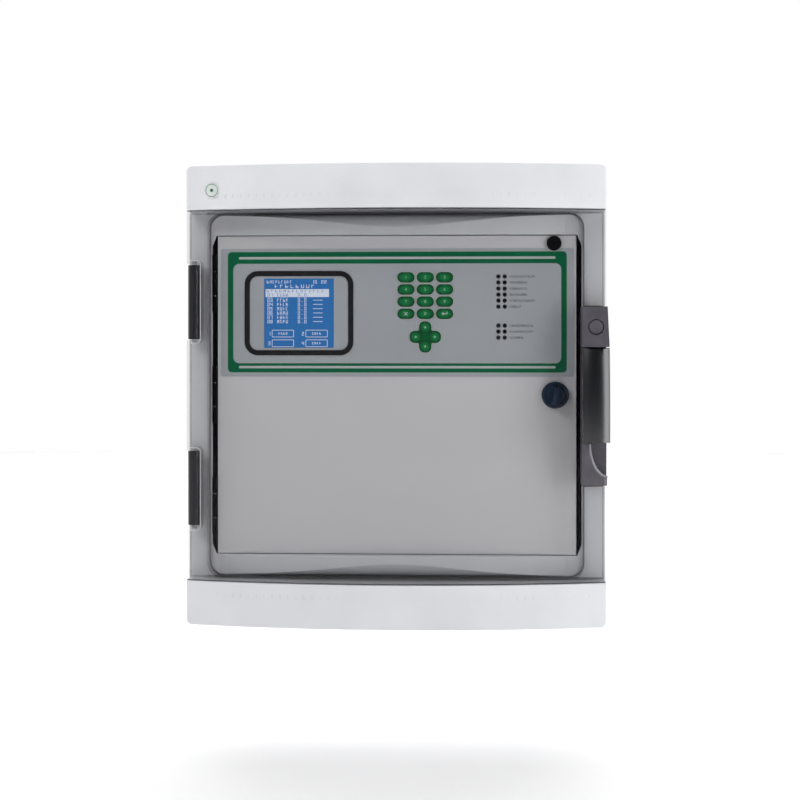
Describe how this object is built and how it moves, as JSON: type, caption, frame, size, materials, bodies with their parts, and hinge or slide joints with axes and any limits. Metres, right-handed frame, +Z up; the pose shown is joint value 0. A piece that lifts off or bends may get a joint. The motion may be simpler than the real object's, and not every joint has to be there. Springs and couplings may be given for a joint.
{
  "type": "fire alarm control panel",
  "caption": "Wall cabinet with a bowed white frame, a smoked hinged door and pull handle, and a hinged inner panel with display, keypad, lamps and lock.",
  "frame": {"origin": "centre of the four wall screws, on the cabinet's rear face", "axes": "+X to the right, +Y into the wall, +Z up; the front faces -Y"},
  "size_m": [0.412, 0.145, 0.448],
  "materials": {
    "white_abs": "fine moulded satin",
    "smoked_polycarbonate": "clear polished, smoke tinted",
    "charcoal_nylon": "satin moulded",
    "gloss_charcoal": "polished moulded",
    "black_steel": "powder coated",
    "zinc_steel": "zinc plated",
    "bright_steel": "ground",
    "grey_painted_steel": "fine powder coat",
    "printed_polyester": "matt printed film",
    "key_green": "embossed printed film",
    "lcd_blue": "lit display",
    "led_lens": "unlit lens",
    "black_rubber": "matt",
    "grey_rubber": "matt foam",
    "door_seal_rubber": "moulded silicone",
    "white_acetal": "moulded",
    "grey_nylon": "moulded",
    "psu_case": "perforated sheet",
    "battery_case": "moulded",
    "green_board": "solder mask",
    "relay_blue": "moulded",
    "connector_green": "moulded",
    "black_epoxy": "moulded"
  },
  "bodies": {
    "cabinet": {"back_box": "white_abs", "front_frame": "white_abs", "frame_gasket": "grey_rubber", "door_seal": "door_seal_rubber", "hinge_barrels": "charcoal_nylon", "strike_plate": "zinc_steel", "hinge_stile": "black_steel", "latch_stile": "black_steel", "panel_hinge_pins": "bright_steel", "cabinet_screws": "zinc_steel", "badge_disc": "white_abs", "mounting_plate": "zinc_steel", "din_rail": "zinc_steel", "terminal_blocks": "grey_nylon", "mains_terminal_block": "grey_nylon", "power_supply": "psu_case", "batteries": "battery_case", "battery_bracket": "zinc_steel", "relay_board": "green_board", "relays": "relay_blue", "board_connectors": "connector_green", "cable_entry_edging": "black_rubber"},
    "door": {"door_cover": "smoked_polycarbonate", "door_hinge_pins": "white_acetal", "handle_base": "charcoal_nylon", "handle_lock": "charcoal_nylon", "handle_pin": "bright_steel", "handle_spring": "bright_steel"},
    "handle": {"handle_lever": "gloss_charcoal", "latch_hook": "zinc_steel"},
    "inner_door": {"inner_panel": "grey_painted_steel", "overlay": "printed_polyester", "lcd_bezel": "charcoal_nylon", "lcd_module": "lcd_blue", "leds": "led_lens", "keypad_board": "green_board", "main_board": "green_board", "board_components": "black_epoxy", "board_nuts": "zinc_steel", "buzzer": "black_epoxy", "lock_bezel": "gloss_charcoal", "lock_nut": "zinc_steel"},
    "lock": {"lock_core": "gloss_charcoal", "lock_cam": "zinc_steel"},
    "key_1": {"key_1": "key_green"},
    "key_2": {"key_2": "key_green"},
    "key_3": {"key_3": "key_green"},
    "key_4": {"key_4": "key_green"},
    "key_5": {"key_5": "key_green"},
    "key_6": {"key_6": "key_green"},
    "key_7": {"key_7": "key_green"},
    "key_8": {"key_8": "key_green"},
    "key_9": {"key_9": "key_green"},
    "key_cancel": {"key_cancel": "key_green"},
    "key_0": {"key_0": "key_green"},
    "key_enter": {"key_enter": "key_green"},
    "key_up": {"key_up": "key_green"},
    "key_right": {"key_right": "key_green"},
    "key_down": {"key_down": "key_green"},
    "key_left": {"key_left": "key_green"}
  },
  "joints": [
    {"name": "door_hinge", "type": "hinge", "parent": "cabinet", "child": "door", "pos_m": [-0.199, -0.108, 0], "axis": [0, 0, -1], "range_deg": [0, 104]},
    {"name": "inner_door_hinge", "type": "hinge", "parent": "cabinet", "child": "inner_door", "pos_m": [-0.1802, -0.0985, 0], "axis": [0, 0, -1], "range_deg": [0, 83.5]},
    {"name": "handle_pull", "type": "hinge", "parent": "door", "child": "handle", "pos_m": [0.1941, -0.13023, 0.0416], "axis": [-1, 0, 0], "range_deg": [0, 30], "stiffness_Nm_per_rad": 0.5, "springref_deg": -17.19},
    {"name": "lock_turn", "type": "hinge", "parent": "inner_door", "child": "lock", "pos_m": [0.1565, -0.1, 0], "axis": [0, -1, 0], "range_deg": [0, 90]},
    {"name": "key_1_press", "type": "slide", "parent": "inner_door", "child": "key_1", "axis": [0, 1, 0], "range_m": [0, 0.0005], "stiffness_N_per_m": 800, "springref_m": -0.0005},
    {"name": "key_2_press", "type": "slide", "parent": "inner_door", "child": "key_2", "axis": [0, 1, 0], "range_m": [0, 0.0005], "stiffness_N_per_m": 800, "springref_m": -0.0005},
    {"name": "key_3_press", "type": "slide", "parent": "inner_door", "child": "key_3", "axis": [0, 1, 0], "range_m": [0, 0.0005], "stiffness_N_per_m": 800, "springref_m": -0.0005},
    {"name": "key_4_press", "type": "slide", "parent": "inner_door", "child": "key_4", "axis": [0, 1, 0], "range_m": [0, 0.0005], "stiffness_N_per_m": 800, "springref_m": -0.0005},
    {"name": "key_5_press", "type": "slide", "parent": "inner_door", "child": "key_5", "axis": [0, 1, 0], "range_m": [0, 0.0005], "stiffness_N_per_m": 800, "springref_m": -0.0005},
    {"name": "key_6_press", "type": "slide", "parent": "inner_door", "child": "key_6", "axis": [0, 1, 0], "range_m": [0, 0.0005], "stiffness_N_per_m": 800, "springref_m": -0.0005},
    {"name": "key_7_press", "type": "slide", "parent": "inner_door", "child": "key_7", "axis": [0, 1, 0], "range_m": [0, 0.0005], "stiffness_N_per_m": 800, "springref_m": -0.0005},
    {"name": "key_8_press", "type": "slide", "parent": "inner_door", "child": "key_8", "axis": [0, 1, 0], "range_m": [0, 0.0005], "stiffness_N_per_m": 800, "springref_m": -0.0005},
    {"name": "key_9_press", "type": "slide", "parent": "inner_door", "child": "key_9", "axis": [0, 1, 0], "range_m": [0, 0.0005], "stiffness_N_per_m": 800, "springref_m": -0.0005},
    {"name": "key_cancel_press", "type": "slide", "parent": "inner_door", "child": "key_cancel", "axis": [0, 1, 0], "range_m": [0, 0.0005], "stiffness_N_per_m": 800, "springref_m": -0.0005},
    {"name": "key_0_press", "type": "slide", "parent": "inner_door", "child": "key_0", "axis": [0, 1, 0], "range_m": [0, 0.0005], "stiffness_N_per_m": 800, "springref_m": -0.0005},
    {"name": "key_enter_press", "type": "slide", "parent": "inner_door", "child": "key_enter", "axis": [0, 1, 0], "range_m": [0, 0.0005], "stiffness_N_per_m": 800, "springref_m": -0.0005},
    {"name": "key_up_press", "type": "slide", "parent": "inner_door", "child": "key_up", "axis": [0, 1, 0], "range_m": [0, 0.0005], "stiffness_N_per_m": 800, "springref_m": -0.0005},
    {"name": "key_right_press", "type": "slide", "parent": "inner_door", "child": "key_right", "axis": [0, 1, 0], "range_m": [0, 0.0005], "stiffness_N_per_m": 800, "springref_m": -0.0005},
    {"name": "key_down_press", "type": "slide", "parent": "inner_door", "child": "key_down", "axis": [0, 1, 0], "range_m": [0, 0.0005], "stiffness_N_per_m": 800, "springref_m": -0.0005},
    {"name": "key_left_press", "type": "slide", "parent": "inner_door", "child": "key_left", "axis": [0, 1, 0], "range_m": [0, 0.0005], "stiffness_N_per_m": 800, "springref_m": -0.0005}
  ],
  "couplings": [
    {"joint": "inner_door_hinge", "follows": "door_hinge", "ratio": 0.8}
  ]
}
